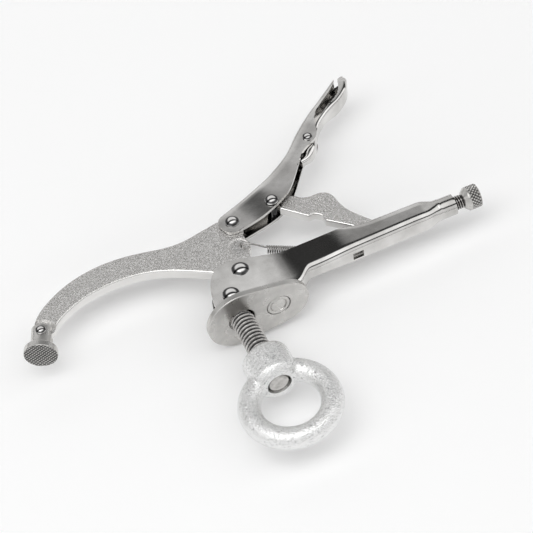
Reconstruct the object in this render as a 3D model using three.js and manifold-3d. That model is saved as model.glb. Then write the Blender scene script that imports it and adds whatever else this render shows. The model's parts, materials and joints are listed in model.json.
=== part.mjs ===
// Locking hold-down clamp with a swivel pad, a base plate, a swing stud and an eye nut.
//
// Millimetres, +Z up. The clamp lies on its side: the four-bar toggle works in the XY plane.
// Origin: centre of the base plate's table face. The fixed handle runs along +X, the jaw and
// handles stand on the +Y side of the plate, and the stud and eye nut hang on its -Y side.

import * as THREE from "three";
import { mergeVertices } from "three/addons/utils/BufferGeometryUtils.js";
import Module from "manifold-3d";

const wasm = await Module();
wasm.setup();

// ---------------------------------------------------------------- driving dimensions
const GAP = 0.3; // running gap between neighbouring pieces
const SEAT = 0.15; // gap between pieces that sit on each other
const SHEET = 1.8; // thickness of the folded handle sheet

const JAW_PIVOT = { x: 0.8, y: 26.5 }; // jaw on the fixed handle
const HANDLE_PIVOT = { x: 9.9, y: 57.5 }; // movable handle on the jaw
const LINK_PIVOT = { x: 33.6, y: 60.5 }; // toggle link on the movable handle
const LINK_END = { x: 75.4, y: 22.1 }; // rear end of the toggle link
const LEVER_PIVOT = { x: 67.9, y: 91.2 }; // release lever on the movable handle
const PAD_PIVOT = { x: -105, y: 36.9 }; // swivel pad on the jaw tip
const STUD_PIN = { x: -10.2, y: 12.8 }; // swing stud between the cheeks
const SPRING_HOLE = { x: 8.4, y: 43 }; // spring hook in the jaw's lug
const SPRING_TAB = { x: 55.5, y: 16.6 }; // spring hook on the fixed handle's tab

const JAW_THICK = 6.4;
const LINK_THICK = 5.2;
const CHEEK_HALF = JAW_THICK / 2 + GAP + SHEET; // outer half width where cheeks hold the jaw
const BODY_HALF = 6.5; // outer half width of both handles behind the pivots

const STUD_ROOM = { before: -30, behind: 8.4, height: 8.2, half: 4.8 }; // cut in the web for the tang
const PLATE = { thick: 3.4, holeX: STUD_PIN.x, holeEnd: 18.5, tailX: 12.3, tailEnd: 14.6, hole: 7 };
const PLATE_RIVET = { x: 10.1, shank: 4, flange: 6.35, flangeDeep: 1.6, recess: 0.25, head: 4.3 };

const STUD = { radius: 6.2, top: 1.4, end: -45.2 };
const TANG = { thick: 8.6, radius: 5.5, neckHalf: 4.4, neckTop: 6 };
const EYE = { centreY: -59.8, ring: 21, section: 6, collar: 12.6, face: -26.2, back: -46, yaw: 3.7 };

const SCREW = { y: 19.5, radius: 3.8, tip: 83, neck: 122.4, spigot: 2.6, spigotLong: 4 };
const KNOB = { radius: 6.3, neck: 4.1, cone: 3.2, end: 131.6 };
const NOSE = { start: 109, end: 117.6, radius: 5.4, bore: SCREW.radius + GAP };

const PAD = { disc: 8.75, discThick: 4.4, reach: 12.2, shank: 5.3, above: 4.9, slot: 4.4 };
const PAD_LEAN = THREE.MathUtils.degToRad(-24.8); // pad axis from straight down, at rest
const TIP_THICK = PAD.slot - 2 * GAP; // jaw tip inside the pad's slot
const TIP_PATCH = 7.6; // radius of the thinned patch on the jaw tip

const TAB = { thick: 1.5, half: 2, low: 11.6, above: 2.4, slotEnd: 63, slotHalf: 2.3 };
const SPRING = { wire: 0.4, coil: 2.2, lead: 13, tail: 4, hole: 1.5 };
const THROUGH = 40; // long enough to cut through every piece

// ---------------------------------------------------------------- solids
function toSolid(geometry) {
  const bare = new THREE.BufferGeometry();
  const source = geometry.index ? geometry.toNonIndexed() : geometry;
  bare.setAttribute("position", source.getAttribute("position"));
  const merged = mergeVertices(bare, 1e-4);
  return new wasm.Manifold(
    new wasm.Mesh({
      numProp: 3,
      vertProperties: merged.attributes.position.array,
      triVerts: new Uint32Array(merged.index.array),
    }),
  );
}

function toGeometry(solid) {
  const mesh = solid.getMesh();
  const geometry = new THREE.BufferGeometry();
  geometry.setAttribute("position", new THREE.BufferAttribute(new Float32Array(mesh.vertProperties), 3));
  geometry.setIndex(new THREE.BufferAttribute(new Uint32Array(mesh.triVerts), 1));
  geometry.computeVertexNormals();
  return geometry;
}

const vec = (x, y) => new THREE.Vector2(x, y);

// A flat outline in XY, extruded along Z and centred on z = 0.
function slab(shape, thick, curveSegments = 5) {
  const geometry = new THREE.ExtrudeGeometry(shape, {
    depth: thick,
    bevelEnabled: false,
    curveSegments,
  });
  geometry.translate(0, 0, -thick / 2);
  return toSolid(geometry);
}

// A round bar along Z through (x, y).
function barZ(x, y, radius, length, segments = 24) {
  const geometry = new THREE.CylinderGeometry(radius, radius, length, segments);
  geometry.rotateX(Math.PI / 2);
  geometry.translate(x, y, 0);
  return toSolid(geometry);
}

// A round bar along Y through (x, z = 0) between two heights.
function barY(x, radius, fromY, toY, segments = 24) {
  const geometry = new THREE.CylinderGeometry(radius, radius, toY - fromY, segments);
  geometry.translate(x, (fromY + toY) / 2, 0);
  return toSolid(geometry);
}

function box(x0, x1, y0, y1, z0, z1) {
  const geometry = new THREE.BoxGeometry(x1 - x0, y1 - y0, z1 - z0);
  geometry.translate((x0 + x1) / 2, (y0 + y1) / 2, (z0 + z1) / 2);
  return toSolid(geometry);
}

// A turned solid: the profile is [radius, height] from the axis back to the axis, height up Y.
function turned(profile, segments = 24) {
  return new THREE.LatheGeometry(
    profile.map(([radius, height]) => vec(radius, height)),
    segments,
  );
}

// ---------------------------------------------------------------- folded channels
// Half of a channel's outer section, from the middle of the web to the free lip, as
// [z, depth] points: web, bend, side wall that may step in, and a lip rolled in by an angle.
function halfSection({ half, top = half, bend, depth, step = null, roll = 0.1, lip = 2 }) {
  const points = [[0, 0]];
  const bendSteps = 4;
  for (let i = 0; i <= bendSteps; i++) {
    const a = (i / bendSteps) * (Math.PI / 2);
    points.push([half - bend + bend * Math.sin(a), bend - bend * Math.cos(a)]);
  }
  const side = depth - lip * Math.sin(roll);
  const [low, high] = step ?? [bend + (side - bend) / 3, bend + (2 * (side - bend)) / 3];
  points.push([half, low], [top, high]);
  const rollSteps = 3;
  for (let i = 0; i <= rollSteps; i++) {
    const a = (i / rollSteps) * roll;
    points.push([top - lip + lip * Math.cos(a), side + lip * Math.sin(a)]);
  }
  return points;
}

// The inner line of a section: every point moved in by the sheet thickness.
function insetSection(points, sheet) {
  return points.map(([z, d], i) => {
    const [za, da] = points[Math.max(i - 1, 0)];
    const [zb, db] = points[Math.min(i + 1, points.length - 1)];
    const length = Math.hypot(zb - za, db - da);
    const inward = [-(db - da) / length, (zb - za) / length];
    return [Math.max(z + inward[0] * sheet, 0), i === 0 ? sheet : d + inward[1] * sheet];
  });
}

// A channel lofted through stations {x, y, nx, ny, section, sheet}: the web's outer face passes
// through (x, y), and (nx, ny) points from the web to the open side.
function channel(stations) {
  const rows = stations.map(({ x, y, nx, ny, section, sheet = SHEET }) => {
    const outer = halfSection(section);
    const inner = insetSection(outer, sheet);
    const whole = (half) => [
      ...half.slice(1).reverse().map(([z, d]) => [-z, d]),
      ...half,
    ];
    const place = ([z, d]) => [x + nx * d, y + ny * d, z];
    return { outer: whole(outer).map(place), inner: whole(inner).map(place) };
  });
  const count = rows[0].outer.length;
  const corners = [];
  const quad = (a, b, c, d) => corners.push(...a, ...b, ...c, ...a, ...c, ...d);
  for (let s = 0; s + 1 < rows.length; s++) {
    const [here, next] = [rows[s], rows[s + 1]];
    for (let i = 0; i + 1 < count; i++) {
      quad(here.outer[i], next.outer[i], next.outer[i + 1], here.outer[i + 1]);
      quad(here.inner[i + 1], next.inner[i + 1], next.inner[i], here.inner[i]);
    }
    quad(here.inner[0], next.inner[0], next.outer[0], here.outer[0]);
    const e = count - 1;
    quad(here.outer[e], next.outer[e], next.inner[e], here.inner[e]);
  }
  const [first, last] = [rows[0], rows[rows.length - 1]];
  for (let i = 0; i + 1 < count; i++) {
    quad(first.outer[i], first.outer[i + 1], first.inner[i + 1], first.inner[i]);
    quad(last.outer[i + 1], last.outer[i], last.inner[i], last.inner[i + 1]);
  }
  const geometry = new THREE.BufferGeometry();
  geometry.setAttribute("position", new THREE.Float32BufferAttribute(corners, 3));
  const solid = toSolid(geometry);
  if (solid.volume() > 0) return solid;
  for (let i = 0; i < corners.length; i += 9) {
    for (let k = 0; k < 3; k++) {
      [corners[i + 3 + k], corners[i + 6 + k]] = [corners[i + 6 + k], corners[i + 3 + k]];
    }
  }
  geometry.setAttribute("position", new THREE.Float32BufferAttribute(corners, 3));
  return toSolid(geometry);
}

// Stations along a curve of web points, with the open side on the curve's right.
function stationsAlong(webPoints, steps, sectionAt) {
  const curve = new THREE.SplineCurve(webPoints.map(([x, y]) => vec(x, y)));
  const stations = [];
  for (let i = 0; i <= steps; i++) {
    const t = i / steps;
    const point = curve.getPoint(t);
    const along = curve.getTangent(t);
    stations.push({ x: point.x, y: point.y, nx: along.y, ny: -along.x, ...sectionAt(t) });
  }
  return stations;
}

const mix = (a, b, t) => a + (b - a) * THREE.MathUtils.clamp(t, 0, 1);
const ease = (from, to, value) => THREE.MathUtils.smoothstep(value, from, to);

// ---------------------------------------------------------------- fixed handle
const WEB_LOW = PLATE.thick + SEAT; // web on the base plate
const WEB_HIGH = 10.6; // web behind the base plate
const WEB_END = 12.6; // web where the nose begins
const BODY_TOP = 26.3; // rolled lips behind the link

function fixedWebHeight(x) {
  const climb = ease(23, 34, x);
  const rise = mix(WEB_HIGH, WEB_END, (x - 34) / 60);
  const toNose = ease(100, NOSE.start, x);
  return mix(mix(WEB_LOW, rise, climb), SCREW.y - NOSE.radius, toNose);
}

function fixedSection(x) {
  const behind = ease(8, 30, x);
  const rolled = ease(46, 74, x);
  const toNose = ease(99, NOSE.start, x);
  const web = fixedWebHeight(x);
  const half = mix(mix(6.6, BODY_HALF, behind), NOSE.radius, toNose);
  const top = mix(mix(CHEEK_HALF, BODY_HALF, behind), NOSE.radius, toNose);
  const bodyTop = mix(mix(36, 30, behind), BODY_TOP, ease(40, 66, x));
  const noseTop = SCREW.y + NOSE.radius;
  const lip = mix(mix(2, 4.2, rolled), NOSE.radius - 0.05, toNose);
  return {
    half,
    top,
    bend: mix(mix(2.6, 4, behind), NOSE.radius - 0.05, toNose),
    depth: mix(bodyTop, noseTop, toNose) - web,
    step: mix(behind, 1, toNose) < 0.5 ? [18.6 - web, 21.4 - web] : null,
    roll: mix(mix(0.1, 1.15, rolled), 1.4, toNose),
    lip,
  };
}

function fixedOutline() {
  const shape = new THREE.Shape();
  shape.moveTo(-20.2, WEB_LOW - 1);
  shape.lineTo(-20.4, 11);
  shape.splineThru([vec(-18.4, 20), vec(-14, 29), vec(-8.5, 33.2), vec(-3, 34.2), vec(4, 33)]);
  shape.splineThru([vec(14, 30.4), vec(24, 27.8), vec(36, 27.6), vec(52, 27.2), vec(62, 27.2)]);
  shape.lineTo(90, 30);
  shape.lineTo(NOSE.end, 30);
  shape.lineTo(NOSE.end, 2);
  shape.lineTo(28, WEB_LOW - 1);
  return shape;
}

function fixedHandle() {
  const stops = [-21, -2, 12, 22, 25, 28, 31, 35, 46, 54, 62, 70, 80, 97, 101, 104, 107];
  stops.push(NOSE.start + 0.5, NOSE.end);
  const stations = stops.map((x) => {
    const sheet = mix(SHEET, NOSE.radius - NOSE.bore, ease(99, NOSE.start, x));
    return { x, y: fixedWebHeight(x), nx: 0, ny: 1, section: fixedSection(x), sheet };
  });
  const { thick, half, low, above, slotEnd, slotHalf } = TAB;
  const tabBack = SPRING_TAB.x + thick;
  const tab = box(SPRING_TAB.x, tabBack, low, SPRING_TAB.y + above, -half, half);
  const slot = box(tabBack, slotEnd, 8, 14, -slotHalf, slotHalf);
  const plateRivetHole = barY(PLATE_RIVET.x, PLATE_RIVET.shank + SEAT, 0, 8);
  const { before, behind, height, half: roomHalf } = STUD_ROOM;
  const studRoom = box(before, STUD_PIN.x + behind, 0, height, -roomHalf, roomHalf);
  return channel(stations)
    .intersect(slab(fixedOutline(), THROUGH))
    .subtract(studRoom)
    .subtract(plateRivetHole)
    .subtract(slot)
    .add(tab)
    .subtract(rivetHole("pivot_rivet"))
    .subtract(rivetHole("stud_pin"));
}

// ---------------------------------------------------------------- base plate
// An egg-shaped outline in XZ: a large round end about the stud hole and a smaller tail.
function basePlate() {
  const lean = Math.asin((PLATE.holeEnd - PLATE.tailEnd) / (PLATE.tailX - PLATE.holeX));
  const shape = new THREE.Shape();
  shape.absarc(PLATE.holeX, 0, PLATE.holeEnd, Math.PI / 2 - lean, 1.5 * Math.PI + lean, false);
  shape.absarc(PLATE.tailX, 0, PLATE.tailEnd, -Math.PI / 2 + lean, Math.PI / 2 - lean, false);
  const hole = new THREE.Path();
  hole.absarc(PLATE.holeX, 0, PLATE.hole, 0, 2 * Math.PI, true);
  const seat = new THREE.Path();
  seat.absarc(PLATE_RIVET.x, 0, PLATE_RIVET.shank + SEAT, 0, 2 * Math.PI, true);
  shape.holes.push(hole, seat);
  const geometry = new THREE.ExtrudeGeometry(shape, {
    depth: PLATE.thick,
    bevelEnabled: false,
    curveSegments: 18,
  });
  geometry.rotateX(-Math.PI / 2);
  const flangeDeep = PLATE_RIVET.flangeDeep + SEAT;
  return toSolid(geometry).subtract(
    barY(PLATE_RIVET.x, PLATE_RIVET.flange + SEAT, -1, flangeDeep, 32),
  );
}

// The large rivet that holds the plate to the web: a sunk flange on the table face and a
// head inside the channel.
function basePlateRivet() {
  const { shank, flange, flangeDeep, recess, head } = PLATE_RIVET;
  const web = WEB_LOW + SHEET + SEAT;
  return turned(
    [
      [0, recess + 0.3],
      [flange - 2.2, recess + 0.3],
      [flange - 1.8, recess],
      [flange, recess],
      [flange, flangeDeep],
      [shank, flangeDeep],
      [shank, web],
      [head, web],
      [head - 0.8, web + 1.3],
      [0, web + 1.8],
    ],
    32,
  ).translate(PLATE_RIVET.x, 0, 0);
}

// ---------------------------------------------------------------- rivets
// Each rivet: its place, shank radius, head radius, head height, and the half width it holds.
const RIVETS = {
  pivot_rivet: { at: JAW_PIVOT, shank: 3.4, head: 4.65, rise: 2, grip: CHEEK_HALF },
  stud_pin: { at: STUD_PIN, shank: 2.8, head: 4.5, rise: 1.9, grip: 6.6 },
  pad_rivet: { at: PAD_PIVOT, shank: 1.7, head: 2.7, rise: 1.2, grip: PAD.shank },
  handle_rivet: { at: HANDLE_PIVOT, shank: 2.8, head: 3.7, rise: 1.8, grip: CHEEK_HALF },
  link_rivet: { at: LINK_PIVOT, shank: 2.6, head: 3.5, rise: 1.5, grip: BODY_HALF },
  lever_rivet: { at: LEVER_PIVOT, shank: 1.6, head: 2.6, rise: 1.1, grip: BODY_HALF },
};

function rivet({ at, shank, head, rise, grip }) {
  const seat = grip + SEAT;
  const domeSteps = 3;
  const dome = [];
  for (let i = 0; i <= domeSteps; i++) {
    const a = (i / domeSteps) * (Math.PI / 2);
    dome.push([head * Math.cos(a), seat + rise * Math.sin(a)]);
  }
  dome[domeSteps][0] = 0;
  const upper = [[shank, seat], ...dome];
  const lower = upper.map(([r, h]) => [r, -h]).reverse();
  return turned([...lower, ...upper], 16)
    .rotateX(Math.PI / 2)
    .translate(at.x, at.y, 0);
}

// The running hole for a rivet's shank, to cut from a piece built in the assembly's frame.
function rivetHole(name) {
  const { at, shank } = RIVETS[name];
  return barZ(at.x, at.y, shank + SEAT, THROUGH);
}

// ---------------------------------------------------------------- jaw arm and pad
function jawOutline() {
  const shape = new THREE.Shape();
  shape.moveTo(-109, 38.5);
  shape.splineThru([vec(-103.4, 47.6), vec(-94, 54.8), vec(-81, 60.9), vec(-66, 64.2), vec(-52, 64.4)]);
  shape.splineThru([vec(-40, 62.6), vec(-28, 60), vec(-18, 59.4), vec(-8, 61), vec(3, 63.1)]);
  shape.absarc(HANDLE_PIVOT.x, HANDLE_PIVOT.y, 6.2, 2.2, -0.75, true);
  shape.splineThru([vec(12.6, 49.4), vec(12.2, 47.4)]);
  shape.absarc(SPRING_HOLE.x - 1.4, SPRING_HOLE.y - 0.6, 6.2, 0.75, -0.9, true);
  shape.lineTo(8.2, 31.5);
  shape.absarc(JAW_PIVOT.x, JAW_PIVOT.y, 7.4, 0.6, -3.3, true);
  shape.splineThru([vec(-12.5, 33.2), vec(-21.8, 39), vec(-32, 44.6), vec(-43, 48.4), vec(-56, 50)]);
  shape.splineThru([vec(-68, 49.4), vec(-80, 46.8), vec(-92.2, 41), vec(-98.6, 35.4)]);
  shape.absarc(PAD_PIVOT.x, PAD_PIVOT.y, 4.4, -0.6, -2.9, true);
  return shape;
}

// The arm's tip is milled thin on both faces, in a round patch about the pad pivot.
function jawArm() {
  const patchLong = 10;
  const patch = barZ(PAD_PIVOT.x, PAD_PIVOT.y, TIP_PATCH, patchLong, 32);
  const lift = (TIP_THICK + patchLong) / 2;
  return slab(jawOutline(), JAW_THICK, 6)
    .subtract(patch.translate([0, 0, lift]))
    .subtract(patch.translate([0, 0, -lift]))
    .subtract(rivetHole("pad_rivet"))
    .subtract(rivetHole("pivot_rivet"))
    .subtract(rivetHole("handle_rivet"))
    .subtract(barZ(SPRING_HOLE.x, SPRING_HOLE.y, SPRING.hole, THROUGH, 16));
}

// A knurled disc on a slotted round shank, built about its pivot with the disc straight down.
function swivelPad() {
  const { disc, discThick, reach, shank, above, slot } = PAD;
  const back = discThick - reach;
  const body = turned(
    [
      [0, -reach],
      [disc - 0.5, -reach],
      [disc, -reach + 0.5],
      [disc, back - 0.6],
      [disc - 0.6, back],
      [shank, back],
      [shank, above - 0.8],
      [shank - 0.8, above],
      [0, above],
    ],
    32,
  );
  const jawRoom = barZ(0, 0, TIP_PATCH - GAP, slot, 32);
  return toSolid(body)
    .subtract(jawRoom)
    .subtract(barZ(0, 0, RIVETS.pad_rivet.shank + SEAT, THROUGH));
}

// ---------------------------------------------------------------- movable handle
const MOVABLE_WEB = [
  [1, 62.6],
  [12.4, 66.9],
  [26.8, 72.2],
  [39.7, 78.2],
  [52.5, 86.7],
  [63.8, 97.7],
  [74.2, 106.7],
  [85.3, 114.6],
  [96.6, 123],
];
const EAR = 7.2; // radius of the ears about the handle pivot

function movableOutline() {
  const shape = new THREE.Shape();
  shape.moveTo(95.8, 119.2);
  shape.splineThru([vec(90.4, 114.3), vec(84, 109.6), vec(79, 105.4), vec(76.2, 100.6), vec(74.6, 95.2)]);
  shape.splineThru([vec(73, 91), vec(70.6, 88.4), vec(66, 86.2), vec(61, 82.8), vec(56.4, 77)]);
  shape.splineThru([vec(50.6, 69.4), vec(44.7, 62.8), vec(37, 58), vec(27, 54.1), vec(15, 51.3)]);
  shape.absarc(HANDLE_PIVOT.x, HANDLE_PIVOT.y, EAR, -1.1, -4.25, true);
  shape.lineTo(11, 69);
  shape.lineTo(24, 74.5);
  shape.lineTo(50, 89);
  shape.lineTo(66, 104);
  shape.lineTo(96, 126);
  shape.lineTo(98, 123.5);
  return shape;
}

function movableHandle() {
  const stations = stationsAlong(MOVABLE_WEB, 13, (t) => {
    const half = mix(CHEEK_HALF, BODY_HALF, ease(0.12, 0.3, t));
    return { section: { half, bend: mix(2.4, 3.4, t * 3), depth: 19, roll: 0.02, lip: 2 } };
  });
  const earRoom = barZ(HANDLE_PIVOT.x, HANDLE_PIVOT.y, EAR + GAP, JAW_THICK + 2 * GAP, 32);
  return channel(stations)
    .intersect(slab(movableOutline(), THROUGH))
    .subtract(earRoom)
    .subtract(rivetHole("handle_rivet"))
    .subtract(rivetHole("link_rivet"))
    .subtract(rivetHole("lever_rivet"));
}

// ---------------------------------------------------------------- toggle link
// Outline in the link's own axes: x from the link pivot to its rear end, y to the bump side.
function linkOutline(length) {
  const hub = 4.8;
  const end = 3.4;
  const shape = new THREE.Shape();
  shape.moveTo(0, hub);
  shape.splineThru([vec(4, 7.6), vec(8, 9), vec(13, 9.1), vec(17, 11), vec(20.5, 14.2), vec(24.4, 15.6)]);
  shape.splineThru([vec(28.4, 14.6), vec(33, 11), vec(38.8, 7.6), vec(47, 5.4), vec(length - 2, 4)]);
  shape.absarc(length, 1, end, 1.3, -1.57, true);
  shape.lineTo(30, -2.5);
  shape.lineTo(27.6, 0);
  shape.lineTo(23, 0.2);
  shape.lineTo(20.4, -2.1);
  shape.lineTo(4.7, -1.2);
  shape.absarc(0, 0, hub, -0.25, 1.57, true);
  return shape;
}

function toggleLink() {
  const length = Math.hypot(LINK_END.x - LINK_PIVOT.x, LINK_END.y - LINK_PIVOT.y);
  return slab(linkOutline(length), LINK_THICK, 6).subtract(
    barZ(0, 0, RIVETS.link_rivet.shank + SEAT, THROUGH),
  );
}

// ---------------------------------------------------------------- release lever
const LEVER_WEB = [
  [59.6, 79.8],
  [65.2, 80.9],
  [69.6, 85.2],
  [73.2, 91.6],
  [77.4, 97.8],
  [83.6, 102.8],
  [93.6, 107.9],
  [100.6, 114],
  [104, 121],
  [103.4, 124.6],
];
const LEVER_SHEET = 1.4;

function leverOutline() {
  const shape = new THREE.Shape();
  shape.moveTo(58.4, 78);
  shape.lineTo(66, 78);
  shape.lineTo(78, 93);
  shape.lineTo(108, 108);
  shape.lineTo(108, 128);
  shape.lineTo(100.6, 126);
  shape.splineThru([vec(96, 114), vec(90, 109.2), vec(83, 105), vec(77, 100.4), vec(71, 96.4)]);
  shape.absarc(LEVER_PIVOT.x, LEVER_PIVOT.y, 4.6, 1.1, 3.6, false);
  shape.splineThru([vec(64.4, 86), vec(63, 83.2), vec(58.6, 81.8)]);
  return shape;
}

function releaseLever() {
  const stations = stationsAlong([...LEVER_WEB].reverse(), 14, (t) => {
    const fromTip = ease(0, 0.09, t);
    const tail = mix(3.4, 5.4, fromTip);
    const body = mix(tail, 4.2, ease(0.34, 0.5, t));
    return {
      sheet: LEVER_SHEET,
      section: {
        half: mix(body, 2.4, ease(0.8, 1, t)),
        bend: 1.9,
        depth: 11,
        roll: 0.02,
        lip: 1.6,
      },
    };
  });
  return channel(stations)
    .intersect(slab(leverOutline(), THROUGH))
    .subtract(rivetHole("lever_rivet"));
}

// ---------------------------------------------------------------- springs
function wire(points, radius, steps, sides = 6) {
  const section = new THREE.Shape();
  section.absarc(0, 0, radius, 0, 2 * Math.PI, false);
  const path = new THREE.CatmullRomCurve3(points);
  const options = { steps, extrudePath: path, curveSegments: sides / 2 };
  return toSolid(new THREE.ExtrudeGeometry(section, options));
}

// Extension spring: straight hooks at both ends and a close coil, shown by its envelope.
function returnSpring() {
  const from = new THREE.Vector3(SPRING_HOLE.x, SPRING_HOLE.y, 0);
  const to = new THREE.Vector3(SPRING_TAB.x - 0.8, SPRING_TAB.y, 0);
  const along = to.clone().sub(from).normalize();
  const coilFrom = from.clone().addScaledVector(along, SPRING.lead);
  const coilTo = to.clone().addScaledVector(along, -SPRING.tail);
  const length = coilFrom.distanceTo(coilTo);
  const coil = new THREE.CylinderGeometry(SPRING.coil, SPRING.coil, length, 16);
  const turn = new THREE.Quaternion().setFromUnitVectors(new THREE.Vector3(0, 1, 0), along);
  coil.applyQuaternion(turn);
  const middle = coilFrom.clone().add(coilTo).multiplyScalar(0.5);
  coil.translate(middle.x, middle.y, middle.z);
  const at = (start, distance, z) => start.clone().addScaledVector(along, distance).setZ(z);
  const overFace = JAW_THICK / 2 + SPRING.wire + GAP;
  const inHole = [at(from, 0, -1), at(from, 0, 2.4)];
  const overEdge = [at(from, 1.2, overFace), at(from, 6, overFace), at(coilFrom, 0.5, 0)];
  const hookIn = wire([...inHole, ...overEdge], SPRING.wire, 10);
  const hookOut = wire([at(coilTo, -0.5, 0), at(to, 0, 0)], SPRING.wire, 2);
  return toSolid(coil).add(hookIn).add(hookOut);
}

// Torsion spring on the lever rivet, between the lever's flanges: one closed barrel.
function leverSpring() {
  const inner = RIVETS.lever_rivet.shank + GAP;
  const outer = inner + 0.7;
  const halfLength = 2;
  const barrel = turned(
    [
      [inner, -halfLength],
      [outer, -halfLength],
      [outer, halfLength],
      [inner, halfLength],
      [inner, -halfLength],
    ],
    20,
  );
  return barrel.rotateX(Math.PI / 2).translate(LEVER_PIVOT.x, LEVER_PIVOT.y, 0);
}

// ---------------------------------------------------------------- adjusting screw
function adjustingScrew() {
  const { radius, tip, neck, spigot, spigotLong } = SCREW;
  const chamfer = 1.6;
  return turned([
    [0, tip],
    [radius - chamfer, tip],
    [radius, tip + chamfer],
    [radius, neck],
    [spigot, neck],
    [spigot, neck + spigotLong],
    [0, neck + spigotLong],
  ])
    .rotateZ(-Math.PI / 2)
    .translate(0, SCREW.y, 0);
}

function adjustingKnob() {
  const { radius, neck, cone, end } = KNOB;
  const start = SCREW.neck + SEAT;
  const socket = SCREW.spigot + SEAT;
  const deep = start + SCREW.spigotLong + SEAT;
  return turned(
    [
      [0, deep],
      [socket, deep],
      [socket, start],
      [neck, start],
      [radius - 0.7, start + cone],
      [radius, start + cone + 0.5],
      [radius, end - 0.8],
      [radius - 0.8, end],
      [0, end],
    ],
    32,
  )
    .rotateZ(-Math.PI / 2)
    .translate(0, SCREW.y, 0);
}

// ---------------------------------------------------------------- stud and eye nut
// A threaded bar whose flattened head hangs on the stud pin.
function swingStud() {
  const { radius, top, end } = STUD;
  const { neckHalf, neckTop } = TANG;
  const spread = Math.asin(neckHalf / TANG.radius) - Math.PI / 2;
  const tang = new THREE.Shape();
  tang.moveTo(STUD_PIN.x + neckHalf, top - 1);
  tang.lineTo(STUD_PIN.x + neckHalf, neckTop);
  tang.absarc(STUD_PIN.x, STUD_PIN.y, TANG.radius, spread, Math.PI - spread, false);
  tang.lineTo(STUD_PIN.x - neckHalf, neckTop);
  tang.lineTo(STUD_PIN.x - neckHalf, top - 1);
  return slab(tang, TANG.thick, 12)
    .add(barY(STUD_PIN.x, radius, end + 0.8, top, 32))
    .add(barY(STUD_PIN.x, radius - 0.8, end, end + 1, 32))
    .subtract(rivetHole("stud_pin"));
}

// Ring and collar, built about the stud's axis with the ring's centre at EYE.centreY.
function eyeNut() {
  const { centreY, ring, section, collar, face, back } = EYE;
  const torus = new THREE.TorusGeometry(ring, section, 12, 32);
  torus.translate(0, centreY, 0);
  const edge = 1.2;
  const boss = turned(
    [
      [0, back],
      [collar - 3, back],
      [collar, back + 4],
      [collar, face - edge],
      [collar - edge, face],
      [0, face],
    ],
    32,
  );
  const bore = new THREE.CylinderGeometry(STUD.radius + GAP, STUD.radius + GAP, 30, 32);
  bore.translate(0, face - 8, 0);
  return toSolid(torus).add(toSolid(boss)).subtract(toSolid(bore));
}

// ---------------------------------------------------------------- assembly
const FINISH = {
  plated_sheet: { color: 0xcfcdc9, roughness: 0.22, metalness: 1 },
  pearl_nickel: { color: 0xbdbab5, roughness: 0.5, metalness: 1 },
  cast_zinc: { color: 0xd8d8d6, roughness: 0.35, metalness: 1 },
  satin_steel: { color: 0xb9b5af, roughness: 0.4, metalness: 1 },
  bright_steel: { color: 0xdddbd8, roughness: 0.12, metalness: 1 },
  spring_steel: { color: 0x9a968f, roughness: 0.35, metalness: 1 },
};

const clamp = new THREE.Group();

function place(name, shape, finish) {
  const geometry = shape.isBufferGeometry ? shape : toGeometry(shape);
  const mesh = new THREE.Mesh(geometry, new THREE.MeshStandardMaterial(FINISH[finish]));
  mesh.name = name;
  clamp.add(mesh);
  return mesh;
}

place("fixed_handle", fixedHandle(), "plated_sheet");
place("base_plate", basePlate(), "satin_steel");
place("base_plate_rivet", basePlateRivet(), "satin_steel");
place("jaw_arm", jawArm(), "pearl_nickel");
place("movable_handle", movableHandle(), "plated_sheet");
place("release_lever", releaseLever(), "plated_sheet");
place("return_spring", returnSpring(), "spring_steel");
place("lever_spring", leverSpring(), "spring_steel");
place("adjusting_screw", adjustingScrew(), "bright_steel");
place("adjusting_knob", adjustingKnob(), "satin_steel");
place("swing_stud", swingStud(), "bright_steel");
for (const [name, size] of Object.entries(RIVETS)) place(name, rivet(size), "bright_steel");

const link = place("toggle_link", toggleLink(), "pearl_nickel");
link.position.set(LINK_PIVOT.x, LINK_PIVOT.y, 0);
link.rotation.z = Math.atan2(LINK_END.y - LINK_PIVOT.y, LINK_END.x - LINK_PIVOT.x);

const pad = place("swivel_pad", swivelPad(), "satin_steel");
pad.position.set(PAD_PIVOT.x, PAD_PIVOT.y, 0);
pad.rotation.z = PAD_LEAN;

const eye = place("eye_nut", eyeNut(), "cast_zinc");
eye.position.x = STUD_PIN.x;
eye.rotation.y = THREE.MathUtils.degToRad(-EYE.yaw);

export default clamp;
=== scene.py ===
import json
import math

import bmesh
import bpy
import numpy as np
from mathutils import Matrix, Vector


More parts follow.
